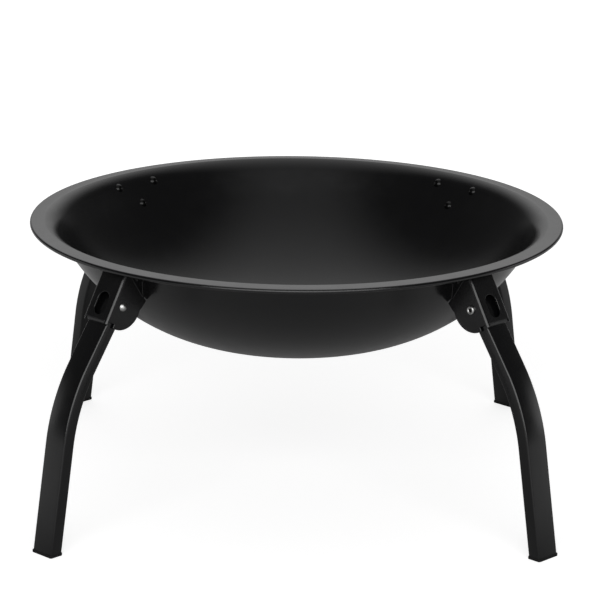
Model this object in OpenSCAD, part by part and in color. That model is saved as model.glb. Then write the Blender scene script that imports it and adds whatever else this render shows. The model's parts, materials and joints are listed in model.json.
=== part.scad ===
// Folding fire pit: a round pressed-steel bowl on four tube legs that fold under it.
// Millimetres. The origin is on the floor under the middle of the bowl, with Z up.
// Each corner is drawn once on the +X side, with Y across the leg, and turned to its place.

/* [Bowl] */
// Diameter over the rolled edge of the rim
rim_d = 560; // [520:1:620]
// Height of the rim's top above the floor
rim_h = 286; // [270:1:310]
// Depth of the bowl from the rim's top to its underside
bowl_depth = 128; // [118:1:138]
// Inner radius of the dish between the flat bottom and the wall
dish_r = 212.5; // [195:0.5:225]
// Slope of the upper wall, in degrees from level
wall_angle = 58; // [55:1:62]
// Rim width, from its edge in to where the wall would meet it
rim_w = 23; // [20:0.5:27]
// Bend radius between wall and rim, on the top side
shoulder_r = 15.5; // [13:0.5:16.5]
// Droop of the rim from that bend out to its edge, in degrees from level
rim_droop = 4; // [2:0.5:5]
// Thickness of the bowl's sheet
bowl_t = 1.2; // [0.9:0.1:1.6]
// Height of the rolled edge
hem_h = 4.6; // [3.6:0.1:5.4]
// Width of the rolled edge's folded-back strip
hem_w = 9; // [7:0.5:11]

/* [Brackets] */
// Distance of a pivot in from the rim's edge
pivot_inset = 18; // [16:0.5:20]
// Drop of a pivot below the rim's top
pivot_drop = 43.5; // [41:0.5:46]
// Thickness of the bracket's sheet
sheet_t = 1.8; // [1.5:0.1:2]
// Lean of the bracket's web from upright, in degrees
web_lean = 30; // [28:1:32]
// Room between the leg's rounded top and the web
web_room = 1.2; // [0.8:0.1:2]
// Reach of the web below the pivot, along the web
web_below = 23; // [22:0.5:25]
// Outer radius of the folds between web and cheeks
fold_r = 3.2; // [2.6:0.1:4]
// Radius of the cheeks round the pivot
cheek_r = 23.8; // [22.5:0.1:25]
// Drop of the bracket's top edge below the rim's top
bracket_drop = 6.5; // [6:0.5:8]
// Drop of the cheeks' lowest seat on the wall below the rim's top
cheek_drop = 42; // [40:0.5:46]
// Width of the window in the web
slot_w = 15.5; // [10:0.5:18]
// Length of the window in the web
slot_l = 24; // [20:0.5:26]
// Drop of the window's middle below the pivot, along the web
slot_drop = 3.4; // [2:0.2:5]
// Width of the slit between the stop lip and each fold
lip_slit = 1.2; // [0.8:0.1:2]
// Width of the relief notch between each fold and the round of its cheek
relief_w = 8; // [6:0.5:9]
// Height of the relief notch above the foot of the web
relief_h = 3.5; // [2.5:0.1:5]

/* [Fasteners] */
// Diameter of the rivets' shanks
rivet_d = 4.8; // [4:0.1:5.2]
// Diameter of the rivets' dome heads
rivet_head_d = 9.8; // [8.5:0.1:11]
// Height of the rivets' dome heads
rivet_head_h = 2.6; // [1.6:0.1:3]
// Spacing of the two upper rivets
rivet_span = 51.2; // [50:0.2:56]
// Drop of the upper rivets below the rim's top
rivet_drop = 10.3; // [9.5:0.1:12]
// Drop of the lower rivet below the rim's top
low_rivet_drop = 29.4; // [27:0.2:32]
// Diameter of the pivot rivet's shank
pivot_d = 6; // [5:0.1:6.5]
// Diameter of the pivot rivet's dome head
pivot_head_d = 9.2; // [8.5:0.1:11]
// Height of the pivot rivet's dome head
pivot_head_h = 3; // [2.5:0.1:3.6]
// Diameter of the pivot rivet's rolled end
roll_d = 9.2; // [8.6:0.1:10.5]
// Height of the pivot rivet's rolled end
roll_h = 2.4; // [2.2:0.1:3]
// Diameter of the hollow in the rolled end
hollow_d = 4; // [3.6:0.1:4.4]
// Depth of the hollow in the rolled end, from the bracket's cheek
hollow_l = 6; // [4:0.5:10]
// Diameter of the washers beside the tube
washer_d = 12; // [10:0.5:14]
// Thickness of the washers beside the tube
washer_t = 1; // [0.8:0.1:1.6]

/* [Legs] */
// Width of the tube, across the leg
tube_w = 28.5; // [26:0.5:30]
// Depth of the tube, in the plane it folds in
tube_d = 15; // [14:0.5:16.5]
// Wall thickness of the tube
tube_t = 1.5; // [1:0.1:1.8]
// Outer corner radius of the tube
tube_r = 2.2; // [2:0.1:3.5]
// Lean of the upper length from upright, in degrees
leg_lean = 35; // [34:0.5:36]
// Lean of the lower length from upright, in degrees
foot_lean = 9.4; // [8:0.2:11]
// Length of the straight tube from pivot to bend
upper_run = 70; // [60:1:80]
// Bend radius on the tube's middle line
bend_r = 182; // [160:1:200]
// Radius of the leg's rounded top about the pivot
leg_end_r = 10.5; // [10:0.1:11.5]

/* [Foot caps] */
// Height of the cap under the tube
cap_h = 3; // [2:0.5:5]
// Amount by which the cap stands proud of the tube
cap_lip = 0.4; // [0.2:0.1:0.8]
// Length of the plug inside the tube
plug_l = 12; // [8:0.5:20]
// Wall thickness of the plug
plug_t = 1.5; // [1:0.1:2]

/* [Fits] */
// Radial clearance of rivets in their bores
pin_clear = 0.05; // [0.02:0.01:0.1]
// Gap between pieces that are clamped together
seat_gap = 0.08; // [0.05:0.01:0.2]
// Gap at each side of a washer
washer_gap = 0.1; // [0.05:0.05:0.2]
// Gap between the open leg and its stop lip
stop_gap = 0.3; // [0.2:0.05:0.5]
// Gap between plug and tube
plug_gap = 0.15; // [0.1:0.05:0.3]

/* [Hidden] */
$fn = 64;

// Corners of the stand and their directions from the middle
CORNERS = [["rear_right", 45], ["rear_left", 135], ["front_left", 225], ["front_right", 315]];
CORNER_PIECES = ["bracket", "bracket_rivets", "pivot_rivet", "pivot_washers", "leg", "foot_cap"];

// Colours of powder coat, zinc, nylon and cap plastic
COAT = [0.07, 0.07, 0.075];
ZINC = [0.72, 0.72, 0.7];
NYLON = [0.85, 0.84, 0.8];
PLASTIC = [0.03, 0.03, 0.03];

// Extra length by which a cutter passes the solid that it cuts
over = 20;
// Amount by which joined solids run into each other
weld = 0.5;
// Steps of the drawn arcs: the dish, and the small bends
dish_steps = 30;
bend_steps = 6;

// Bowl profile: where wall and rim planes cross, flat bottom and middle of the shoulder bend
rim_r = rim_d / 2;
wall_top_r = rim_r - rim_w;
floor_z = rim_h - bowl_depth + bowl_t;
dish_top_z = floor_z + dish_r * (1 - cos(wall_angle));
flat_r = wall_top_r - (rim_h - dish_top_z) / tan(wall_angle) - dish_r * sin(wall_angle);
shoulder = [wall_top_r + shoulder_r * tan(wall_angle / 2), rim_h - shoulder_r];

// Rolled edge: directions square to the drooping rim and in along it, and the middle of the nose
rim_up = [sin(rim_droop), cos(rim_droop)];
rim_in = [-cos(rim_droop), sin(rim_droop)];
nose_x = rim_r - hem_h / 2;
nose_rise = (shoulder_r - hem_h / 2 - (nose_x - shoulder[0]) * rim_up[0]) / rim_up[1];
nose = [nose_x, shoulder[1] + nose_rise];
hem_run = hem_w - hem_h / 2;

// Pivot, and the bracket's sizes that follow from leg and washers
pivot_r = rim_r - pivot_inset;
pivot_z = rim_h - pivot_drop;
inner_half_w = tube_w / 2 + washer_t + 2 * washer_gap;
bracket_half_w = inner_half_w + sheet_t;
web_out = leg_end_r + web_room + sheet_t;
bracket_top = rim_h - bracket_drop;

// Stop lip: its bend ends just short of the open leg's outer face
stop_lean = leg_lean - web_lean;
tube_face = tube_d / 2 / cos(stop_lean) + web_below * tan(stop_lean);
lip_r = web_out - tube_face - stop_gap;
lip_z = lip_r - web_below;
lip_half_w = bracket_half_w - fold_r - lip_slit;

// Depths below the bowl's inner skin: seat, middle and back of a bracket flange
seat_depth = bowl_t + seat_gap;
mid_depth = seat_depth + sheet_t / 2;
back_depth = seat_depth + sheet_t;

// Bracket flanges: tongue down the wall on the mid-line, ear round each upper rivet
rivet_margin = 4.1;
rivet_edge = rivet_head_d / 2 + rivet_margin;
tongue_half_w = 8;
ear_top = 6;
ear_side = 8;
ear_end = 3;
ear_run = (cheek_drop - rivet_drop) / sin(wall_angle) - ear_end;
flange_angle = 34;

// Corner of a cheek between its round and its seat, past the round and below level
notch_out = 1;
notch_turn = 17;

// Leg: turn of its bend, and the point where the lower length begins
leg_turn = leg_lean - foot_lean;
leg_step = 0.02;
bend_end = pivot_frame(leg_lean, [-bend_r * (1 - cos(leg_turn)), -upper_run - bend_r * sin(leg_turn)]);
foot_run = bend_end[1] / cos(foot_lean);

// Points of an arc, from one angle to another
function arc(middle, r, from, to, steps) = [
    for (i = [0:steps])
        let (a = from + (to - from) * i / steps)
            middle + r * [cos(a), sin(a)]
];

function reversed(points) = [for (i = [len(points) - 1:-1:0]) points[i]];

// A rectangle with rounded corners, about the origin
function rounded_rect(x, y, r) = concat(
    arc([x / 2 - r, y / 2 - r], r, 0, 90, bend_steps),
    arc([r - x / 2, y / 2 - r], r, 90, 180, bend_steps),
    arc([r - x / 2, r - y / 2], r, 180, 270, bend_steps),
    arc([x / 2 - r, r - y / 2], r, 270, 360, bend_steps)
);

// A point given out from and up a leaning line through the pivot, as radius and height
function pivot_frame(lean, point) = [
    pivot_r + point[0] * cos(lean) - point[1] * sin(lean),
    pivot_z + point[0] * sin(lean) + point[1] * cos(lean)
];

// Slope and radius of the bowl's inner skin at a height
function wall_slope(z) = z > dish_top_z ? wall_angle : acos(1 - (z - floor_z) / dish_r);
function wall_radius(z) = z > dish_top_z
    ? wall_top_r - (rim_h - z) / tan(wall_angle)
    : flat_r + dish_r * sin(wall_slope(z));

// The dish at a depth below the inner skin, from a slope up to the top of its arc
function dish(depth, from, steps) =
    arc([flat_r, floor_z + dish_r], dish_r + depth, from - 90, wall_angle - 90, steps);

// The whole skin at a depth, from the middle of the bottom to the end of the shoulder
function skin(depth) = concat(
    [[0, floor_z - depth]],
    dish(depth, 0, dish_steps),
    arc(shoulder, shoulder_r - depth, 90 + wall_angle, 90, 2 * bend_steps),
    [shoulder + (shoulder_r - depth) * rim_up]
);

// The rolled edge's nose at a radius, from the rim's upper face over its outermost point to its lower face
function nose_arc(r) = concat(
    arc(nose, r, 90 - rim_droop, 0, bend_steps),
    arc(nose, r, -90 / bend_steps, -90 - rim_droop, bend_steps - 1)
);

// The wall at a depth, from below the brackets up to their top edge
function bracket_wall(depth) = concat(
    dish(depth, wall_slope(pivot_z - cheek_r), 2 * bend_steps),
    [[wall_radius(bracket_top), bracket_top] + depth * [sin(wall_angle), -cos(wall_angle)]]
);

// Bowl: one sheet, drawn as its profile and spun, with the rivets' bores
module bowl() {
    color(COAT)
        difference() {
            rotate_extrude($fn = 128)
                polygon(concat(
                    skin(0),
                    nose_arc(hem_h / 2),
                    [for (depth = [0, bowl_t]) nose + (depth - hem_h / 2) * rim_up + hem_run * rim_in],
                    reversed(nose_arc(hem_h / 2 - bowl_t)),
                    reversed(skin(bowl_t))
                ));
            for (corner = CORNERS)
                rotate([0, 0, corner[1]])
                    rivet_bores();
        }
}

// Puts its children on the inner skin at a height, with Z out through the wall and X down it
module on_wall(z, turn = 0) {
    rotate([0, 0, turn])
        translate([wall_radius(z), 0, z])
            rotate([0, 180 - wall_slope(z), 0])
                children();
}

// Puts its children at one corner's three rivets
module at_rivets() {
    upper_z = rim_h - rivet_drop;
    swing = asin(rivet_span / 2 / wall_radius(upper_z));
    on_wall(upper_z, swing)
        children();
    on_wall(upper_z, -swing)
        children();
    on_wall(rim_h - low_rivet_drop)
        children();
}

module rivet_bores() {
    at_rivets()
        cylinder(h = over, d = rivet_d + 2 * pin_clear, center = true);
}

// A dome of a given width and height on the plane Z = 0
module dome(width, height) {
    ball_r = (width * width / 4 + height * height) / (2 * height);
    intersection() {
        translate([0, 0, height - ball_r])
            sphere(ball_r);
        cylinder(h = over, d = width + 1);
    }
}

// Rivets: dome head with a pulled-stem dimple inside the bowl, set tail behind the bracket
module bracket_rivets() {
    dimple_d = rivet_d / 2;
    tail_seat = back_depth + seat_gap;
    color(COAT)
        at_rivets()
            difference() {
                union() {
                    translate([0, 0, -2 * seat_gap])
                        mirror([0, 0, 1])
                            dome(rivet_head_d, rivet_head_h);
                    translate([0, 0, -rivet_head_h / 2])
                        cylinder(h = tail_seat + rivet_head_h, d = rivet_d);
                    translate([0, 0, tail_seat])
                        cylinder(h = rivet_d * 0.9, d = rivet_d * 1.5);
                }
                translate([0, 0, -rivet_head_h * 2])
                    cylinder(h = rivet_head_h * 1.4, d = dimple_d);
            }
}

// Puts its children at the pivot, with Z up a leaning line and X out from it
module at_pivot(lean) {
    translate([pivot_r, 0, pivot_z])
        rotate([0, -lean, 0])
            children();
}

module pivot_bore() {
    at_pivot(0)
        rotate([90, 0, 0])
            cylinder(h = 4 * bracket_half_w, d = pivot_d + 2 * pin_clear, center = true);
}

// Outline of the bracket from the side, in radius and height
module bracket_side() {
    seat_z = rim_h - cheek_drop;
    fold_x = web_out - fold_r;
    difference() {
        union() {
            polygon([
                [pivot_frame(web_lean, [web_out, 0])[0], bracket_top],
                pivot_frame(web_lean, [web_out + over, -web_below]),
                pivot_frame(web_lean, [0, -web_below]),
                [pivot_r, pivot_z],
                [pivot_r, pivot_z] - (cheek_r + notch_out) * [cos(notch_turn), sin(notch_turn)],
                [wall_radius(seat_z), seat_z],
                [wall_radius(seat_z), bracket_top]
            ]);
            translate([pivot_r, pivot_z])
                circle(cheek_r);
        }
        translate([pivot_r, pivot_z])
            rotate(web_lean)
                translate([fold_x - relief_w, -web_below - over])
                    square([relief_w, over + relief_h]);
    }
}

// Section of the folded channel: web on the outside and a cheek on each side of the leg
module channel_section() {
    fold_x = web_out - fold_r;
    fold_y = bracket_half_w - fold_r;
    back_x = -2 * cheek_r;
    polygon(concat(
        [[back_x, -bracket_half_w]],
        arc([fold_x, -fold_y], fold_r, -90, 0, bend_steps),
        arc([fold_x, fold_y], fold_r, 0, 90, bend_steps),
        [[back_x, bracket_half_w], [back_x, inner_half_w]],
        arc([fold_x, fold_y], fold_r - sheet_t, 90, 0, bend_steps),
        arc([fold_x, -fold_y], fold_r - sheet_t, 0, -90, bend_steps),
        [[back_x, -inner_half_w]]
    ));
}

// Channel cut to its side outline and to the curve of the bowl
module channel() {
    difference() {
        intersection() {
            at_pivot(web_lean)
                translate([0, 0, -2 * cheek_r])
                    linear_extrude(5 * cheek_r)
                        channel_section();
            rotate([90, 0, 0])
                linear_extrude(3 * bracket_half_w, center = true)
                    bracket_side();
        }
        rotate([0, 0, -flange_angle / 2])
            rotate_extrude(angle = flange_angle)
                polygon(concat(
                    [[flat_r, bracket_top + over], [flat_r, bracket_wall(mid_depth)[0][1]]],
                    bracket_wall(mid_depth),
                    [[wall_radius(bracket_top) + mid_depth, bracket_top + over]]
                ));
    }
}

// Cut that frees the lip from the web's folds
module lip_cut() {
    half_w = lip_half_w + lip_slit;
    at_pivot(web_lean)
        translate([0, -half_w, lip_z - over])
            cube([web_out + over, 2 * half_w, over]);
}

// Lip curled in at the foot of the web, which the open leg leans on
module stop_lip() {
    middle = [web_out - lip_r, lip_z];
    at_pivot(web_lean)
        rotate([90, 0, 0])
            linear_extrude(2 * lip_half_w, center = true)
                polygon(concat(
                    [[web_out, lip_z + weld]],
                    arc(middle, lip_r, 0, -90, bend_steps),
                    arc(middle, lip_r - sheet_t, -90, 0, bend_steps),
                    [[web_out - sheet_t, lip_z + weld]]
                ));
}

// Flanges that lie on the bowl: the sheet along the wall, cut to tongue and ears
module flanges() {
    intersection() {
        rotate([0, 0, -flange_angle / 2])
            rotate_extrude(angle = flange_angle, $fn = 128)
                polygon(concat(bracket_wall(seat_depth), reversed(bracket_wall(back_depth))));
        union() {
            on_wall(rim_h - low_rivet_drop)
                linear_extrude(over, center = true)
                    tongue_outline();
            on_wall(rim_h - rivet_drop)
                linear_extrude(over, center = true) {
                    ear_outline();
                    mirror([0, 1])
                        ear_outline();
                }
        }
    }
}

// Tongue, with X down the wall from the lower rivet
module tongue_outline() {
    circle(rivet_edge);
    translate([-4 * rivet_edge, -tongue_half_w])
        square([4 * rivet_edge, 2 * tongue_half_w]);
}

// Ear on one side, with X down the wall from the upper rivets and Y across the bracket
module ear_outline() {
    root_y = inner_half_w + sheet_t / 3;
    polygon([
        [-ear_top, root_y],
        [-ear_top, rivet_span / 2],
        [0, rivet_span / 2 + ear_side],
        [ear_run, root_y]
    ]);
    translate([0, rivet_span / 2])
        circle(rivet_edge);
}

// Bracket: one folded sheet with its window, stop lip and flanges
module bracket() {
    slot_rise = (slot_l - slot_w) / 2;
    color(COAT)
        difference() {
            union() {
                difference() {
                    channel();
                    lip_cut();
                }
                stop_lip();
                flanges();
            }
            at_pivot(web_lean)
                translate([0, 0, -slot_drop])
                    rotate([90, 0, 90])
                        linear_extrude(over)
                            polygon(concat(
                                arc([0, slot_rise], slot_w / 2, 0, 180, 2 * bend_steps),
                                arc([0, -slot_rise], slot_w / 2, 180, 360, 2 * bend_steps)
                            ));
            pivot_bore();
            rivet_bores();
        }
}

// Pivot rivet, spun in one profile: dome head on the +Y cheek, hollow rolled end on the other
module pivot_rivet() {
    seat = bracket_half_w + seat_gap;
    ball_r = (pivot_head_d * pivot_head_d / 4 + pivot_head_h * pivot_head_h) / (2 * pivot_head_h);
    roll_r = (roll_d - hollow_d) / 4;
    color(ZINC)
        at_pivot(0)
            rotate([-90, 0, 0])
                rotate_extrude()
                    polygon(concat(
                        arc([0, seat + pivot_head_h - ball_r], ball_r, 90,
                            acos(pivot_head_d / 2 / ball_r), 2 * bend_steps),
                        [[pivot_d / 2, seat], [pivot_d / 2, -seat], [roll_d / 2, -seat]],
                        arc([roll_d / 2 - roll_r, roll_r - seat - roll_h], roll_r, 0, -180, 2 * bend_steps),
                        [[hollow_d / 2, hollow_l - seat], [0, hollow_l - seat]]
                    ));
}

// Washers between the tube's sides and the cheeks
module pivot_washers() {
    color(NYLON)
        at_pivot(0)
            for (side = [-1, 1])
                translate([0, side * (tube_w / 2 + washer_gap + washer_t / 2), 0])
                    rotate([90, 0, 0])
                        difference() {
                            cylinder(h = washer_t, d = washer_d, center = true);
                            cylinder(h = over, d = pivot_d + 2 * pin_clear, center = true);
                        }
}

// Section of the tube, drawn in by an inset on every side
module tube_section(inset) {
    polygon(rounded_rect(tube_d - 2 * inset, tube_w - 2 * inset, tube_r - inset));
}

// Puts its children at the start of the leg's lower length, with Z up along it
module at_lower_length() {
    translate([bend_end[0], 0, bend_end[1]])
        rotate([0, -foot_lean, 0])
            children();
}

// Solid bar along the leg's whole path. The straight lengths nest into the bend's ends.
module leg_bar(inset) {
    at_pivot(leg_lean) {
        translate([0, 0, -upper_run - weld])
            linear_extrude(upper_run + weld + leg_end_r + over)
                tube_section(inset + leg_step);
        translate([-bend_r, 0, -upper_run])
            rotate([90, 0, 0])
                rotate([0, 0, -leg_turn])
                    rotate_extrude(angle = leg_turn, $fn = 256)
                        translate([bend_r, 0])
                            tube_section(inset);
    }
    at_lower_length()
        translate([0, 0, -foot_run - over])
            linear_extrude(foot_run + over + weld)
                tube_section(inset + leg_step);
}

// Leg: bent tube with a rounded top end, cut level at the foot
module leg() {
    color(COAT)
        difference() {
            leg_bar(0);
            leg_bar(tube_t);
            at_pivot(leg_lean)
                difference() {
                    translate([-tube_d, -tube_w, 0])
                        cube([2 * tube_d, 2 * tube_w, 3 * over]);
                    rotate([90, 0, 0])
                        cylinder(h = 3 * tube_w, r = leg_end_r, center = true);
                }
            translate([pivot_r, -tube_w, cap_h - 3 * over])
                cube([2 * pivot_r, 2 * tube_w, 3 * over]);
            pivot_bore();
        }
}

// Foot cap: level pad under the tube with a hollow plug up inside it
module foot_cap() {
    pad_x = bend_end[0] + (bend_end[1] - cap_h / 2) * tan(foot_lean);
    pad_d = tube_d / cos(foot_lean) + 2 * cap_lip;
    plug_inset = tube_t + leg_step + plug_gap;
    color(PLASTIC) {
        translate([pad_x, 0, 0])
            linear_extrude(cap_h)
                polygon(rounded_rect(pad_d, tube_w + 2 * cap_lip, tube_r));
        difference() {
            at_lower_length()
                translate([0, 0, -foot_run - over])
                    linear_extrude(over + cap_h + plug_l)
                        difference() {
                            tube_section(plug_inset);
                            square([tube_d - 2 * (plug_inset + plug_t), tube_w - 2 * (plug_inset + plug_t)],
                                   center = true);
                        }
            translate([pivot_r, -tube_w, cap_h / 2 - 3 * over])
                cube([2 * pivot_r, 2 * tube_w, 3 * over]);
        }
    }
}

bowl();

for (corner = CORNERS)
    rotate([0, 0, corner[1]]) {
        bracket();
        bracket_rivets();
        pivot_rivet();
        pivot_washers();
        leg();
        foot_cap();
    }
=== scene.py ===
# %% [markdown]
# # A folding fire pit
# The object is a pressed steel bowl that stands on four bent tube legs. Each leg turns on a rivet in a
# folded bracket, so it can swing in under the bowl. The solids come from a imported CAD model, and this
# lesson gives them the surfaces that the eye expects: soft edges, rolled sheet, powder coat and zinc.
# The CAD objects stay where they are. A new piece stands in for a node only where it looks better.

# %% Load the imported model
import json
import math

import bpy
from mathutils import Matrix, Vector

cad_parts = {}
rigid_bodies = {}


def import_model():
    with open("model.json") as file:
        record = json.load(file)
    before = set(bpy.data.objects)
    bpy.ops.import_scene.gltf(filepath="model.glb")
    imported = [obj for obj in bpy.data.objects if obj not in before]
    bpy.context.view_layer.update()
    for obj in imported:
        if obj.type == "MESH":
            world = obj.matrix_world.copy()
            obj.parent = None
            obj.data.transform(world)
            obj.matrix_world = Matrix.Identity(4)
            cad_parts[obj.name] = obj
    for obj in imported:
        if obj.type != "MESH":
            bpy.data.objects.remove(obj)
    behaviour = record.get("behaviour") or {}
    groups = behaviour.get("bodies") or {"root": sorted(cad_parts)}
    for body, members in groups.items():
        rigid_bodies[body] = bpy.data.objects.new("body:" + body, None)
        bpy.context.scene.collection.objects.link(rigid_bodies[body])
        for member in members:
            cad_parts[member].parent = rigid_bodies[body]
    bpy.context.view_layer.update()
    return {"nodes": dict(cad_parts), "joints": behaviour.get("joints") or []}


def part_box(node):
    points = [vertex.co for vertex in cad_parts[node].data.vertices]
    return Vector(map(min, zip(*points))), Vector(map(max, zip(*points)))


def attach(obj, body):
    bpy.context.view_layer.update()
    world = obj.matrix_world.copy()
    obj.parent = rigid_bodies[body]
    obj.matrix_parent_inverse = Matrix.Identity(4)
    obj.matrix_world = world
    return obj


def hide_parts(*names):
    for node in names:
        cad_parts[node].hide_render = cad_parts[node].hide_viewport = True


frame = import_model()

# %% [markdown]
# ## Sizes from the frame
# Sizes are written in millimetres, as on a drawing, and turned to metres where a mesh is made. The bowl's
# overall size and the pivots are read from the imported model, so the new pieces land on the solids.

# %% Measure the frame
MM = 0.001


def metres(x, y, z):
    return Vector((x, y, z)) * MM


bowl_low, bowl_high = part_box("bowl")
rim_radius = bowl_high.x / MM
rim_height = bowl_high.z / MM
bowl_underside = bowl_low.z / MM

corners = {}
for joint in frame["joints"]:
    pivot_x, pivot_y, pivot_z = joint["pos_m"]
    corners[joint["name"].removeprefix("leg_fold_")] = math.atan2(pivot_y, pivot_x)
pivot_radius = math.hypot(pivot_x, pivot_y) / MM
pivot_height = pivot_z / MM
print(f"Rim {rim_radius:.1f} mm out and {rim_height:.1f} mm up, underside at {bowl_underside:.1f} mm")
print(f"Pivots {pivot_radius:.1f} mm out and {pivot_height:.1f} mm up, at", ", ".join(corners))

# %% [markdown]
# ## Camera
# The photograph was taken from far away with a long lens, a little above the rim. The camera's place and
# angles were worked out from the rim, the feet and the rivets, for a square image of 600 pixels.

# %% Set the camera
PHOTO_PIXELS = 600
SENSOR_MM = 36
focal_pixels = 3060
camera_place = metres(-25.9, -3119.5, 1094.3)
camera_pitch = math.radians(16.09)
camera_pan = math.radians(0.557)
camera_roll = math.radians(0.62)

forward = Vector((
    math.sin(camera_pan) * math.cos(camera_pitch),
    math.cos(camera_pan) * math.cos(camera_pitch),
    -math.sin(camera_pitch),
))
level_right = forward.cross(Vector((0, 0, 1))).normalized()
level_up = level_right.cross(forward)
right = math.cos(camera_roll) * level_right + math.sin(camera_roll) * level_up
up = right.cross(forward)

camera_data = bpy.data.cameras.new("photo_camera")
camera_data.sensor_width = SENSOR_MM
camera_data.lens = SENSOR_MM * focal_pixels / PHOTO_PIXELS
camera = bpy.data.objects.new("photo_camera", camera_data)
bpy.context.scene.collection.objects.link(camera)
turn = Matrix((right, up, -forward)).transposed().to_4x4()
camera.matrix_world = Matrix.Translation(camera_place) @ turn
bpy.context.scene.camera = camera
print(f"Camera lens {camera_data.lens:.1f} mm at {camera_place.length:.2f} m")

# %% [markdown]
# ## Working by operators
# Blender's operators act on what is selected, and loading left every node selected. So each piece starts
# with nothing selected. A finished piece sits at the origin, with its place in its mesh, like a CAD node.

# %% Helpers for selecting and placing
MERGE_GAP = 0.005 * MM
SMOOTH_DEGREES = 40


def deselect_all():
    bpy.ops.object.select_all(action="DESELECT")


def make_active(piece):
    deselect_all()
    piece.select_set(True)
    bpy.context.view_layer.objects.active = piece


def start_editing(piece):
    make_active(piece)
    bpy.ops.object.mode_set(mode="EDIT")
    bpy.ops.mesh.select_all(action="SELECT")


def stop_editing():
    bpy.ops.object.mode_set(mode="OBJECT")


def place(piece, placement):
    make_active(piece)
    piece.matrix_world = placement
    bpy.ops.object.transform_apply(location=True, rotation=True, scale=True)


def placed_copy(piece, name, placement):
    make_active(piece)
    bpy.ops.object.duplicate(linked=False)
    copy = bpy.context.object
    copy.name = name
    place(copy, placement)
    return copy


def joined(pieces, name):
    make_active(pieces[0])
    for piece in pieces:
        piece.select_set(True)
    bpy.ops.object.join()
    pieces[0].name = name
    return pieces[0]


def smooth(piece, degrees=SMOOTH_DEGREES):
    make_active(piece)
    bpy.ops.object.shade_smooth_by_angle(angle=math.radians(degrees))


def apply_modifier(piece, kind, **settings):
    make_active(piece)
    modifier = piece.modifiers.new(kind.lower(), kind)
    for setting, value in settings.items():
        setattr(modifier, setting, value)
    bpy.ops.object.modifier_apply(modifier=modifier.name)


def remove(piece):
    bpy.data.objects.remove(piece)


def at_pivot(lean):
    """Place of a corner on the +X side: Z up a line that leans out by this angle, X out from it."""
    return Matrix.Translation(metres(pivot_radius, 0, pivot_height)) @ Matrix.Rotation(-lean, 4, "Y")


def at_corner(corner):
    return Matrix.Rotation(corners[corner], 4, "Z")


print("Helpers ready for", len(frame["nodes"]), "nodes")

# %% [markdown]
# ## Bowl
# The real bowl is one disc of sheet steel, pressed to a dish. Its wall turns in a bend to a rim that droops
# a little, and the rim's edge is rolled under so that it isn't sharp. Such a shape could be a subdivided
# cage, but it is round, so a drawn section that is spun gives exact curves. The section is drawn vertex by
# vertex, over the inside, round the rolled edge and back underneath, and is spun about the middle. The solid
# has one arc at the bend. Here the bend is wide against the wall and tight at the rim, which moves the skin
# by at most 1 mm and gives the rim its crisp inner line.

# %% Bowl section
bowl_sheet = 1.2
wall_slope = math.radians(58)
dish_radius = 212.5
rim_width = 23
tight_bend = 5
wide_bend = 28
bend_split = math.radians(21)
rim_droop = math.radians(4)
hem_height = 4.6
hem_width = 9

wall_top = rim_radius - rim_width
bowl_floor = bowl_underside + bowl_sheet
dish_top = bowl_floor + dish_radius * (1 - math.cos(wall_slope))
flat_radius = wall_top - (rim_height - dish_top) / math.tan(wall_slope) - dish_radius * math.sin(wall_slope)
bend_growth = wide_bend - tight_bend
bend_reach = wide_bend - tight_bend * math.cos(wall_slope) - bend_growth * math.cos(wall_slope - bend_split)
tight_x = wall_top + bend_reach / math.sin(wall_slope)
tight_z = rim_height - tight_bend
wide_x = tight_x + bend_growth * math.sin(bend_split)
wide_z = tight_z - bend_growth * math.cos(bend_split)
bend_end = wide_z + wide_bend * math.cos(wall_slope)


def arc(middle_x, middle_z, radius, start, end, steps):
    angles = [start + (end - start) * i / steps for i in range(steps + 1)]
    return [metres(middle_x + radius * math.cos(a), 0, middle_z + radius * math.sin(a)) for a in angles]


def bowl_skin(depth):
    """Points of the bowl's section at a depth below its inner face, from the middle to the rim."""
    down = -math.pi / 2
    up = math.pi / 2
    dish = arc(flat_radius, bowl_floor + dish_radius, dish_radius + depth, down, down + wall_slope, steps=48)
    wide = arc(wide_x, wide_z, wide_bend - depth, up + wall_slope, up + bend_split, steps=14)
    tight = arc(tight_x, tight_z, tight_bend - depth, up + bend_split, up - rim_droop, steps=10)
    return [metres(0, 0, bowl_floor - depth)] + dish + wide + tight[1:]


rim_up = Vector((math.sin(rim_droop), 0, math.cos(rim_droop)))
rim_in = Vector((-math.cos(rim_droop), 0, math.sin(rim_droop)))
nose_radius = hem_height / 2
nose_x = rim_radius - nose_radius
nose_rise = (tight_bend - nose_radius - (nose_x - tight_x) * rim_up.x) / rim_up.z
nose_z = tight_z + nose_rise


def hem_skin(depth):
    """Points of the rolled edge at a depth, from the rim's upper face round to the end of the roll."""
    roll_start = math.pi / 2 - rim_droop
    roll = arc(nose_x, nose_z, nose_radius - depth, roll_start, roll_start - math.pi, steps=24)
    return roll + [roll[-1] + rim_in * (hem_width - nose_radius) * MM]


bowl_section = bowl_skin(0) + hem_skin(0) + hem_skin(bowl_sheet)[::-1] + bowl_skin(bowl_sheet)[::-1]
print(f"Bowl section of {len(bowl_section)} points, flat bottom {2 * flat_radius:.0f} mm across")


# %% Draw a section and spin it
def drawn_line(name, points):
    """Draws a line by extruding one vertex from point to point, and leaves it selected for editing."""
    deselect_all()
    bpy.ops.mesh.primitive_plane_add(size=MM)
    piece = bpy.context.object
    piece.name = name
    start_editing(piece)
    bpy.ops.mesh.merge(type="CENTER")
    bpy.ops.transform.translate(value=points[0])
    for before, after in zip(points, points[1:]):
        bpy.ops.mesh.extrude_region_move(TRANSFORM_OT_translate={"value": after - before})
    bpy.ops.mesh.select_all(action="SELECT")
    return piece


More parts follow.
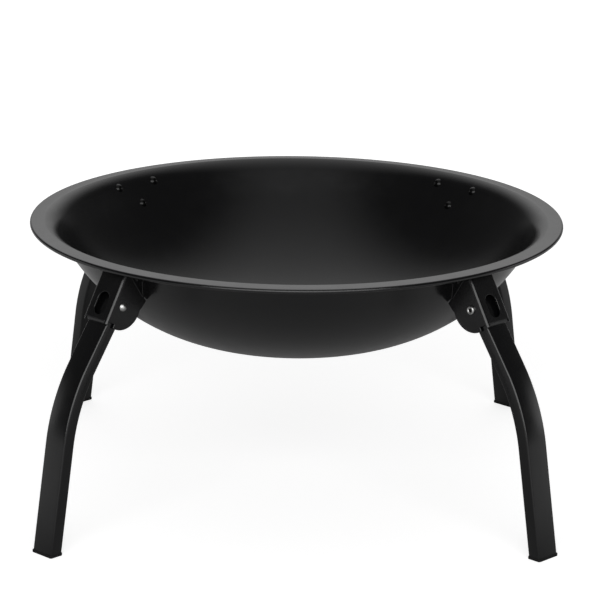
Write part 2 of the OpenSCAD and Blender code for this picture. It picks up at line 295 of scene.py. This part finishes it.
def spun_piece(name, section, steps):
    piece = drawn_line(name, section)
    bpy.ops.mesh.spin(steps=steps, angle=2 * math.pi, center=(0, 0, 0), axis=(0, 0, 1))
    bpy.ops.mesh.select_all(action="SELECT")
    bpy.ops.mesh.remove_doubles(threshold=MERGE_GAP)
    bpy.ops.mesh.normals_make_consistent(inside=False)
    stop_editing()
    return piece


bowl = spun_piece("bowl_sheet", bowl_section, steps=180)
smooth(bowl)
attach(bowl, "stand")
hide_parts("bowl")
print("Bowl faces:", len(bowl.data.polygons))

# %% [markdown]
# ## Legs
# A leg is rectangular tube with rounded corners, bent once so that the upper length splays out and the foot
# stands almost upright. Rolled tube is never quite flat: its broad faces are crowned by a fraction of a
# millimetre, and that spreads their reflections. A curve could carry the outline along the leg's path. Here
# it is drawn like the bowl's section and pushed along that path, by an extrude for each straight length and
# a spin for the bend, because these keep the exact lengths and radius. Solidify gives the wall.

# %% Tube skin along the leg
tube_width = 28.5
tube_depth = 15
tube_wall = 1.5
tube_corner = 2.2
tube_crown = 0.5
leg_lean = math.radians(35)
foot_lean = math.radians(9.4)
upper_run = 70
bend_radius = 182
leg_end_radius = 10.5
cap_height = 3
spare = 20

leg_turn = leg_lean - foot_lean
face_half = tube_width / 2 - tube_corner
face_steps = 8
corner_x = tube_depth / 2 - tube_crown - tube_corner

tube_side = arc(corner_x, -face_half, tube_corner, -math.pi / 2, 0, steps=6)
for step in range(1, face_steps):
    across = 2 * step / face_steps - 1
    tube_side.append(metres(tube_depth / 2 - tube_crown * across ** 2, 0, face_half * across))
tube_side += arc(corner_x, face_half, tube_corner, 0, math.pi / 2, steps=6)
tube_outline = [Vector((p.x, p.z, 0)) for p in tube_side] + [Vector((-p.x, -p.z, 0)) for p in tube_side]

leg = drawn_line("leg_tube", tube_outline + tube_outline[:1])
bpy.ops.mesh.remove_doubles(threshold=MERGE_GAP)
bpy.ops.transform.translate(value=metres(0, 0, spare))
bpy.ops.mesh.extrude_region_move(TRANSFORM_OT_translate={"value": metres(0, 0, -spare - upper_run)})
bpy.ops.mesh.spin(steps=24, angle=leg_turn, center=metres(-bend_radius, 0, -upper_run), axis=(0, -1, 0))
foot_way = Vector((-math.sin(leg_turn), 0, -math.cos(leg_turn)))
bpy.ops.mesh.extrude_region_move(TRANSFORM_OT_translate={"value": foot_way * pivot_height * MM})
bpy.ops.mesh.select_all(action="SELECT")
bpy.ops.mesh.normals_make_consistent(inside=False)
stop_editing()
leg_low = min(vertex.co.x for vertex in leg.data.vertices) / MM
print(f"Leg skin: {len(leg.data.polygons)} faces, foot {-leg_low:.0f} mm in from the upper length's line")

# %% Tube wall and rounded top end
apply_modifier(leg, "SOLIDIFY", thickness=tube_wall * MM, offset=-1, use_even_offset=True)

cutter_width = 2 * tube_width
deselect_all()
bpy.ops.mesh.primitive_cylinder_add(
    vertices=64, radius=leg_end_radius * MM, depth=1.5 * cutter_width * MM, rotation=(math.pi / 2, 0, 0)
)
round_end = bpy.context.object
deselect_all()
bpy.ops.mesh.primitive_cube_add(size=1)
end_cutter = bpy.context.object
end_cutter.dimensions = metres(cutter_width, cutter_width, 2 * spare)
place(end_cutter, Matrix.Translation(metres(0, 0, spare)) @ Matrix.Diagonal(end_cutter.scale).to_4x4())
apply_modifier(end_cutter, "BOOLEAN", operation="DIFFERENCE", object=round_end)
apply_modifier(leg, "BOOLEAN", operation="DIFFERENCE", object=end_cutter)
remove(round_end)
remove(end_cutter)
leg_top = max(vertex.co.z for vertex in leg.data.vertices) / MM
print(f"Leg end rounded, {leg_top:.1f} mm above the pivot")

# %% Stand the leg on its cap and copy it to the corners
place(leg, at_pivot(leg_lean))
start_editing(leg)
cap_top = metres(0, 0, cap_height)
bpy.ops.mesh.bisect(plane_co=cap_top, plane_no=(0, 0, 1), use_fill=True, clear_inner=True)
stop_editing()
smooth(leg)

legs = {}
for corner in corners:
    legs[corner] = placed_copy(leg, f"leg_tube_{corner}", at_corner(corner))
    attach(legs[corner], f"leg_body_{corner}")
    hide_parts(f"leg_{corner}")
remove(leg)
print("Legs:", ", ".join(piece.name for piece in legs.values()))

# %% [markdown]
# ## Brackets and foot caps
# A bracket is one piece of sheet: a web with a window, two cheeks, a curled lip that stops the open leg, and
# flanges that lie on the bowl. It could be folded again from a plane, but the CAD solid already has this
# shape. Only its cut edges are perfectly sharp, which no punched and coated sheet is. So a copy of the solid
# is merged, its flat faces are joined, and a bevel rounds every edge. The caps in the feet are moulded, so
# their edges are round too.

# %% Copy a solid and ease its edges
bracket_edge = 0.55
cap_edge = 0.5
solid_merge_gap = 0.01
flat_angle = math.radians(1)
sharp_angle = math.radians(40)
eased_smooth_degrees = 45


def eased_copy(node_name, piece_name, edge_radius):
    make_active(frame["nodes"][node_name])
    bpy.ops.object.duplicate(linked=False)
    piece = bpy.context.object
    piece.name = piece_name
    bpy.ops.object.parent_clear(type="CLEAR")
    # The copy loses the labels that mark its solid as a CAD node.
    for label in list(piece.keys()):
        del piece[label]
    bpy.ops.mesh.customdata_custom_splitnormals_clear()
    start_editing(piece)
    bpy.ops.mesh.remove_doubles(threshold=solid_merge_gap * MM)
    bpy.ops.mesh.dissolve_limited(angle_limit=flat_angle)
    stop_editing()
    apply_modifier(piece, "BEVEL", width=edge_radius * MM, segments=2, limit_method="ANGLE",
                   angle_limit=sharp_angle, use_clamp_overlap=False)
    smooth(piece, eased_smooth_degrees)
    apply_modifier(piece, "WEIGHTED_NORMAL", keep_sharp=True)
    return piece


brackets = {}
foot_caps = {}
for corner in corners:
    brackets[corner] = eased_copy(f"bracket_{corner}", f"bracket_sheet_{corner}", bracket_edge)
    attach(brackets[corner], "stand")
    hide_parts(f"bracket_{corner}")
    foot_caps[corner] = eased_copy(f"foot_cap_{corner}", f"foot_plug_{corner}", cap_edge)
    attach(foot_caps[corner], f"leg_body_{corner}")
    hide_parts(f"foot_cap_{corner}")
print("Bracket faces:", [len(piece.data.polygons) for piece in brackets.values()])
print("Foot cap faces:", [len(piece.data.polygons) for piece in foot_caps.values()])

# %% [markdown]
# ## Wall rivets
# Three blind rivets hold each bracket. Inside the bowl a rivet shows a low dome with a small hole, where the
# pulling stem broke off. Outside, its tail has swelled behind the sheet. A flattened ball could pass for the
# dome, but a section that is spun gives the hole and the tail as well. One rivet is made, and its copies
# stand square to the wall at the places that the section of the bowl gives.

# %% One blind rivet
rivet_head = 9.8
rivet_rise = 2.6
rivet_shank = 4.8
stem_hole = 2.4
tail_length = 4.3
tail_swell = 3.6
bracket_sheet = 1.8
seat_gap = 0.08

head_ball = (rivet_head ** 2 / 4 + rivet_rise ** 2) / (2 * rivet_rise)
dome_start = math.acos(stem_hole / 2 / head_ball)
dome_end = math.acos(rivet_head / 2 / head_ball)
tail_seat = bowl_sheet + bracket_sheet + 2 * seat_gap
tail_radius = tail_length / 2
tail_middle = -tail_seat - tail_radius
rivet_section = (
    [metres(0, 0, rivet_rise / 2), metres(stem_hole / 2, 0, rivet_rise / 2)]
    + arc(0, rivet_rise - head_ball, head_ball, dome_start, dome_end, steps=10)
    + [metres(rivet_shank / 2, 0, 0), metres(rivet_shank / 2, 0, -tail_seat)]
    + arc(tail_swell - tail_radius, tail_middle, tail_radius, math.pi / 2, -math.pi / 2, steps=10)
    + [metres(0, 0, -tail_seat - tail_length)]
)
rivet = spun_piece("wall_rivet", rivet_section, steps=32)
smooth(rivet)
print("Rivet faces:", len(rivet.data.polygons))

# %% Rivets square to the wall
rivet_span = 51.2
rivet_drops = {"upper": 10.3, "lower": 29.4}


def on_wall(drop, side):
    """Place of a rivet on the +X side, a given drop below the rim, with Z into the bowl."""
    height = rim_height - drop
    slope = wall_slope
    radius = wall_top - drop / math.tan(wall_slope)
    if height > bend_end:
        slope = math.acos((height - wide_z) / wide_bend)
        radius = wide_x - wide_bend * math.sin(slope)
    if height < dish_top:
        slope = math.acos(1 - (height - bowl_floor) / dish_radius)
        radius = flat_radius + dish_radius * math.sin(slope)
    swing = math.asin(side * rivet_span / 2 / radius)
    stand = Matrix.Translation(metres(radius, 0, height)) @ Matrix.Rotation(-slope, 4, "Y")
    return Matrix.Rotation(swing, 4, "Z") @ stand


rivet_places = [
    on_wall(rivet_drops["upper"], side=1),
    on_wall(rivet_drops["upper"], side=-1),
    on_wall(rivet_drops["lower"], side=0),
]
wall_rivets = {}
for corner in corners:
    trio = [placed_copy(rivet, "wall_rivet", at_corner(corner) @ spot) for spot in rivet_places]
    wall_rivets[corner] = joined(trio, f"wall_rivets_{corner}")
    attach(wall_rivets[corner], "stand")
    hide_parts(f"bracket_rivets_{corner}")
remove(rivet)
print("Rivets a corner:", len(rivet_places))

# %% [markdown]
# ## Pivot rivets
# Each leg turns on a plated steel rivet. Its dome head shows on one cheek, and on the other the hollow end
# is rolled over to a ring. Head, pin and ring could be three shapes that are joined, but one spun section,
# from the dome to the bottom of the hollow, makes the rivet a single closed skin.

# %% One pivot rivet
pivot_shank = 6
pivot_head = 9.2
pivot_rise = 3
roll_diameter = 9.2
roll_height = 2.4
hollow_diameter = 4
hollow_depth = 6
cheek_half = 17.25

seat = cheek_half + seat_gap
pivot_ball = (pivot_head ** 2 / 4 + pivot_rise ** 2) / (2 * pivot_rise)
ball_middle = seat + pivot_rise - pivot_ball
head_end = math.acos(pivot_head / 2 / pivot_ball)
roll_radius = (roll_diameter - hollow_diameter) / 4
roll_x = roll_diameter / 2 - roll_radius
roll_z = roll_radius - seat - roll_height
hollow_end = hollow_depth - seat
pivot_section = (
    arc(0, ball_middle, pivot_ball, math.pi / 2, head_end, steps=12)
    + [metres(pivot_shank / 2, 0, seat), metres(pivot_shank / 2, 0, -seat)]
    + [metres(roll_diameter / 2, 0, -seat)]
    + arc(roll_x, roll_z, roll_radius, 0, -math.pi, steps=12)
    + [metres(hollow_diameter / 2, 0, hollow_end), metres(0, 0, hollow_end)]
)
pivot_rivet = spun_piece("pivot_rivet", pivot_section, steps=48)
smooth(pivot_rivet)
pin_place = at_pivot(0) @ Matrix.Rotation(-math.pi / 2, 4, "X")
pivot_rivets = {}
for corner in corners:
    pivot_rivets[corner] = placed_copy(pivot_rivet, f"pivot_pin_{corner}", at_corner(corner) @ pin_place)
    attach(pivot_rivets[corner], "stand")
    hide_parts(f"pivot_rivet_{corner}")
remove(pivot_rivet)
print("Pivot rivets:", len(pivot_rivets), "of", len(pivot_section), "section points")

# %% [markdown]
# ## Materials
# Every colour is written as a hex value, as picked on a screen, and turned to the linear values that the
# shader works in. One function adds a node, sets it and links it, so each material reads as a list of nodes.
# Images could hold the patterns, but noise on the object's own coordinates needs no file, and has the same
# size on every piece.

# %% Colour and node helpers
# Most of a noise pattern lies between these two values.
NOISE_LOW = 0.3
NOISE_HIGH = 0.7


def linear(hex_colour):
    channels = [int(hex_colour[i:i + 2], 16) / 255 for i in (1, 3, 5)]
    return [c / 12.92 if c <= 0.04045 else ((c + 0.055) / 1.055) ** 2.4 for c in channels] + [1]


def add_node(tree, kind, inputs, **settings):
    node = tree.nodes.new(kind)
    for setting, value in settings.items():
        setattr(node, setting, value)
    for socket, value in inputs.items():
        if isinstance(value, bpy.types.NodeSocket):
            tree.links.new(value, node.inputs[socket])
        else:
            node.inputs[socket].default_value = value
    return node


def start_material(name):
    material = bpy.data.materials.new(name)
    material.use_nodes = True
    material.node_tree.nodes.clear()
    return material, material.node_tree


def per_metre(size_mm):
    """Scale of a noise pattern whose features are about this many millimetres across."""
    return 1 / (size_mm * MM)


print("Linear value of mid grey:", [round(c, 3) for c in linear("#808080")])

# %% [markdown]
# ### Powder coat
# Bowl, brackets and legs are powder-coated steel. The powder melts to a thin plastic skin with a faint
# ripple called orange peel. It gives black with a soft, broad sheen that grows bright at grazing angles.
# The ripple is too shallow to model, so a bump draws it, and two broader noises vary the tint and the sheen.

# %% Powder-coated steel
# Black polyester powder coat, sprayed and baked: satin, with a slight ripple that breaks up highlights.
# Real orange peel is about 1 mm across. It is drawn at 2.5 mm, because the render shows about 1 mm a pixel.
powder_coat, tree = start_material("powder_coat_black_satin")
spot = add_node(tree, "ShaderNodeTexCoord", {}).outputs["Object"]
cloud = add_node(tree, "ShaderNodeTexNoise", {"Vector": spot, "Scale": per_metre(60), "Detail": 3})
tint = add_node(tree, "ShaderNodeMix", {
    "Factor": cloud.outputs["Fac"], "A": linear("#070708"), "B": linear("#0b0b0c"),
}, data_type="RGBA")
haze = add_node(tree, "ShaderNodeTexNoise", {"Vector": spot, "Scale": per_metre(18), "Detail": 4})
sheen = add_node(tree, "ShaderNodeMapRange", {
    "Value": haze.outputs["Fac"], "From Min": NOISE_LOW, "From Max": NOISE_HIGH,
    "To Min": 0.2, "To Max": 0.25,
})
peel = add_node(tree, "ShaderNodeTexNoise", {"Vector": spot, "Scale": per_metre(2.5), "Detail": 2})
ripple = add_node(tree, "ShaderNodeBump", {
    "Height": peel.outputs["Fac"], "Strength": 0.12, "Distance": 0.3 * MM,
})
coat = add_node(tree, "ShaderNodeBsdfPrincipled", {
    "Base Color": tint.outputs["Result"], "Roughness": sheen.outputs["Result"],
    "Normal": ripple.outputs["Normal"], "Specular IOR Level": 0.5,
})
add_node(tree, "ShaderNodeOutputMaterial", {"Surface": coat.outputs["BSDF"]})
print("Nodes in", powder_coat.name, len(tree.nodes))

# %% [markdown]
# ### Small metal and plastic
# The wall rivets are black too, but smoother than the sheet. The pivot rivets are zinc-plated steel, which
# is a bright grey metal with a slightly cloudy finish. The caps are moulded plastic, and the washers are
# punched from plastic sheet. Pieces this small could have one colour each, but close up that looks false.
# So each finish has one noise, which varies its tint and, on all but the washers, its sheen or relief too.

# %% Black rivet finish
# Aluminium blind rivet with a baked black paint: smoother than powder coat, so its dome holds a highlight.
rivet_black, tree = start_material("painted_aluminium_black")
spot = add_node(tree, "ShaderNodeTexCoord", {}).outputs["Object"]
scuff = add_node(tree, "ShaderNodeTexNoise", {"Vector": spot, "Scale": per_metre(3), "Detail": 4})
tint = add_node(tree, "ShaderNodeMix", {
    "Factor": scuff.outputs["Fac"], "A": linear("#060606"), "B": linear("#0b0b0b"),
}, data_type="RGBA")
sheen = add_node(tree, "ShaderNodeMapRange", {
    "Value": scuff.outputs["Fac"], "From Min": NOISE_LOW, "From Max": NOISE_HIGH,
    "To Min": 0.15, "To Max": 0.2,
})
paint = add_node(tree, "ShaderNodeBsdfPrincipled", {
    "Base Color": tint.outputs["Result"], "Roughness": sheen.outputs["Result"], "Specular IOR Level": 0.25,
})
add_node(tree, "ShaderNodeOutputMaterial", {"Surface": paint.outputs["BSDF"]})
print("Nodes in", rivet_black.name, len(tree.nodes))

# %% Zinc plating
# Zinc-plated steel, tumbled after forming: bright grey, with cloudy patches where the plating is duller.
zinc, tree = start_material("zinc_plated_steel")
spot = add_node(tree, "ShaderNodeTexCoord", {}).outputs["Object"]
bloom = add_node(tree, "ShaderNodeTexNoise", {"Vector": spot, "Scale": per_metre(2), "Detail": 4})
tint = add_node(tree, "ShaderNodeMix", {
    "Factor": bloom.outputs["Fac"], "A": linear("#a9aaab"), "B": linear("#cfcfcc"),
}, data_type="RGBA")
sheen = add_node(tree, "ShaderNodeMapRange", {
    "Value": bloom.outputs["Fac"], "From Min": NOISE_LOW, "From Max": NOISE_HIGH,
    "To Min": 0.22, "To Max": 0.38,
})
plating = add_node(tree, "ShaderNodeBsdfPrincipled", {
    "Base Color": tint.outputs["Result"], "Roughness": sheen.outputs["Result"], "Metallic": 1,
})
add_node(tree, "ShaderNodeOutputMaterial", {"Surface": plating.outputs["BSDF"]})
print("Nodes in", zinc.name, len(tree.nodes))

# %% Cap plastic
# Black polyethylene, moulded in a spark-eroded tool: dull, with a fine even grain, drawn at 1.5 mm to show.
cap_plastic, tree = start_material("polyethylene_black_moulded")
spot = add_node(tree, "ShaderNodeTexCoord", {}).outputs["Object"]
grain = add_node(tree, "ShaderNodeTexNoise", {"Vector": spot, "Scale": per_metre(1.5), "Detail": 3})
tint = add_node(tree, "ShaderNodeMix", {
    "Factor": grain.outputs["Fac"], "A": linear("#0a0a0a"), "B": linear("#131313"),
}, data_type="RGBA")
relief = add_node(tree, "ShaderNodeBump", {
    "Height": grain.outputs["Fac"], "Strength": 0.2, "Distance": 0.2 * MM,
})
moulding = add_node(tree, "ShaderNodeBsdfPrincipled", {
    "Base Color": tint.outputs["Result"], "Roughness": 0.6,
    "Normal": relief.outputs["Normal"], "Specular IOR Level": 0.3,
})
add_node(tree, "ShaderNodeOutputMaterial", {"Surface": moulding.outputs["BSDF"]})
print("Nodes in", cap_plastic.name, len(tree.nodes))

# %% Washer nylon
# Natural nylon, punched from sheet: warm off-white with faint cloudiness.
nylon, tree = start_material("nylon_natural")
spot = add_node(tree, "ShaderNodeTexCoord", {}).outputs["Object"]
milk = add_node(tree, "ShaderNodeTexNoise", {"Vector": spot, "Scale": per_metre(4), "Detail": 3})
tint = add_node(tree, "ShaderNodeMix", {
    "Factor": milk.outputs["Fac"], "A": linear("#d8d3c4"), "B": linear("#e6e2d6"),
}, data_type="RGBA")
washer_skin = add_node(tree, "ShaderNodeBsdfPrincipled", {
    "Base Color": tint.outputs["Result"], "Roughness": 0.45,
})
add_node(tree, "ShaderNodeOutputMaterial", {"Surface": washer_skin.outputs["BSDF"]})
print("Nodes in", nylon.name, len(tree.nodes))


# %% Give each piece its material
def dress(piece, material):
    piece.data.materials.clear()
    piece.data.materials.append(material)


dress(bowl, powder_coat)
for corner in corners:
    dress(legs[corner], powder_coat)
    dress(brackets[corner], powder_coat)
    dress(wall_rivets[corner], rivet_black)
    dress(pivot_rivets[corner], zinc)
    dress(foot_caps[corner], cap_plastic)
    dress(frame["nodes"][f"pivot_washers_{corner}"], nylon)
print("Materials:", ", ".join(material.name for material in bpy.data.materials))

# %% [markdown]
# ## Studio
# The photograph is a cut-out on white. A glossy black object shows mostly what stands around it, so the
# studio matters more than the lamp. A white paper sweep rises behind the object and bends overhead, and
# lights the rim. White panels at both sides, the right one brighter, draw the soft gradients down the legs,
# and the dark gaps between them keep the brackets black. One wide soft box above the camera draws the lines
# along folds and corners. Sweep and panels could be lit cards, but as levels of the world they cast no
# shadow and stay out of the exported model.

# %% Floor
floor_width = 40

deselect_all()
bpy.ops.mesh.primitive_plane_add(size=floor_width)
floor = bpy.context.object
floor.name = "studio_floor"
print("Floor is", floor.dimensions.x, "m wide")

# %% Floor paper
# The floor is pale paper. The camera sees it white, partly by a glow, and the diffuse rest of what it sees
# keeps the object's shadow. Near the middle the glow is less, a painted shade that deepens that real shadow.
# In reflections the glow is weak, and weakest under the object, which is a painted shadow there. Distances
# are in metres from the middle, and a share is how much of the glow stands in for the diffuse paper.
glow_strength = 1.9

floor_paper, tree = start_material("studio_floor_paper")
rays = add_node(tree, "ShaderNodeLightPath", {}).outputs
tone = add_node(tree, "ShaderNodeMix", {
    "Factor": rays["Is Camera Ray"], "A": linear("#adadad"), "B": linear("#ffffff"),
}, data_type="RGBA")
matte = add_node(tree, "ShaderNodeBsdfDiffuse", {"Color": tone.outputs["Result"]})
glow = add_node(tree, "ShaderNodeEmission", {"Color": linear("#ffffff"), "Strength": glow_strength})
spot = add_node(tree, "ShaderNodeTexCoord", {}).outputs["Object"]
distance = add_node(tree, "ShaderNodeVectorMath", {0: spot}, operation="LENGTH").outputs["Value"]
# Less glow near the middle is painted shade round the object, added to its real shadow.
seen_glow_share_with_painted_shade = add_node(tree, "ShaderNodeMapRange", {
    "Value": distance, "From Min": 0.45, "From Max": 1.6, "To Min": 0.385, "To Max": 0.53,
}, interpolation_type="SMOOTHSTEP")
seen = add_node(tree, "ShaderNodeMath", {
    0: rays["Is Camera Ray"], 1: seen_glow_share_with_painted_shade.outputs["Result"],
}, operation="MULTIPLY")
# In reflections the glow is weakest under the object, which is a painted shadow there.
mirror_glow_share_with_painted_shadow = add_node(tree, "ShaderNodeMapRange", {
    "Value": distance, "From Min": 0.35, "From Max": 0.85, "To Min": 0.03, "To Max": 0.21,
}, interpolation_type="SMOOTHSTEP")
reflected = add_node(tree, "ShaderNodeMath", {
    0: rays["Is Glossy Ray"], 1: rays["Is Transmission Ray"],
}, operation="MAXIMUM")
mirrored = add_node(tree, "ShaderNodeMath", {
    0: reflected.outputs["Value"], 1: mirror_glow_share_with_painted_shadow.outputs["Result"],
}, operation="MULTIPLY")
share = add_node(tree, "ShaderNodeMath", {
    0: seen.outputs["Value"], 1: mirrored.outputs["Value"],
}, operation="ADD")
blend = add_node(tree, "ShaderNodeMixShader", {
    0: share.outputs["Value"], 1: matte.outputs["BSDF"], 2: glow.outputs["Emission"],
})
add_node(tree, "ShaderNodeOutputMaterial", {"Surface": blend.outputs["Shader"]})
dress(floor, floor_paper)
print("Nodes in", floor_paper.name, len(tree.nodes))

# %% World directions
# A direction has length one, with X to the right, Y away from the camera and Z up. Each row fades a level
# along one of these: which it is, where on it the fade starts and ends, and the level at the start and end.
world = bpy.data.worlds.new("studio_world")
bpy.context.scene.world = world
world.use_nodes = True
tree = world.node_tree
tree.nodes.clear()
toward = add_node(tree, "ShaderNodeTexCoord", {}).outputs["Generated"]
way = add_node(tree, "ShaderNodeSeparateXYZ", {"Vector": toward}).outputs
sideways = add_node(tree, "ShaderNodeMath", {0: way["X"]}, operation="ABSOLUTE").outputs["Value"]

sweep_fades = {
    "width": (sideways, 0.12, 0.68, 1, 0),
    "reach": (way["Y"], -0.9, 0.9, 0.3, 1),
    "foot": (way["Z"], 0.1, 0.5, 0.43, 1.14),
    "top": (way["Z"], 0.45, 0.9, 1, 0.8),
}
panel_fades = {
    "edge": (sideways, 0.75, 0.93, 0, 1),
    "front": (way["Y"], 0.01, 0.17, 0.05, 1),
    "top": (way["Z"], 0.1, 0.42, 1, 0),
    "side": (way["X"], -0.5, 0.5, 1.05, 1.5),
}
print("Sweep fades:", ", ".join(sweep_fades), "and panel fades:", ", ".join(panel_fades))

# %% World levels
# The fades of the sweep, or of the panels, are multiplied. The brightest of these and the dark room shows in
# the object, and the camera sees white.
room_dark = 0.07

rays = add_node(tree, "ShaderNodeLightPath", {}).outputs
brightest = add_node(tree, "ShaderNodeMath", {0: room_dark, 1: rays["Is Camera Ray"]}, operation="MAXIMUM")
for fades in (sweep_fades, panel_fades):
    level = 1
    for part, start, end, start_level, end_level in fades.values():
        fade = add_node(tree, "ShaderNodeMapRange", {
            "Value": part, "From Min": start, "From Max": end, "To Min": start_level, "To Max": end_level,
        }, interpolation_type="SMOOTHSTEP")
        faded = add_node(tree, "ShaderNodeMath", {0: level, 1: fade.outputs["Result"]}, operation="MULTIPLY")
        level = faded.outputs["Value"]
    brightest = add_node(tree, "ShaderNodeMath", {
        0: brightest.outputs["Value"], 1: level,
    }, operation="MAXIMUM")
sky = add_node(tree, "ShaderNodeBackground", {
    "Color": linear("#ffffff"), "Strength": brightest.outputs["Value"],
})
add_node(tree, "ShaderNodeOutputWorld", {"Surface": sky.outputs["Background"]})
print("World nodes:", len(tree.nodes))

# %% Soft box
box_width = 4.3
box_height = 2.2
box_watts = 86
box_distance = 3.2
box_lift = math.radians(22)
box_aim = Vector((0, 0, 0.2))

box_away = Vector((0, -math.cos(box_lift), math.sin(box_lift)))
soft_box = bpy.data.lights.new("soft_box", "AREA")
soft_box.shape = "RECTANGLE"
soft_box.size = box_width
soft_box.size_y = box_height
soft_box.energy = box_watts
soft_box_stand = bpy.data.objects.new("soft_box", soft_box)
bpy.context.scene.collection.objects.link(soft_box_stand)
facing = box_away.to_track_quat("Z", "Y").to_matrix().to_4x4()
soft_box_stand.matrix_world = Matrix.Translation(box_aim + box_distance * box_away) @ facing
soft_box_stand.visible_camera = False
print(f"Soft box {box_width} m wide, {box_distance} m away")

# %% Colour management
# Standard shows a colour about as its hex value is written.
bpy.context.scene.view_settings.view_transform = "Standard"
print("View transform:", bpy.context.scene.view_settings.view_transform)
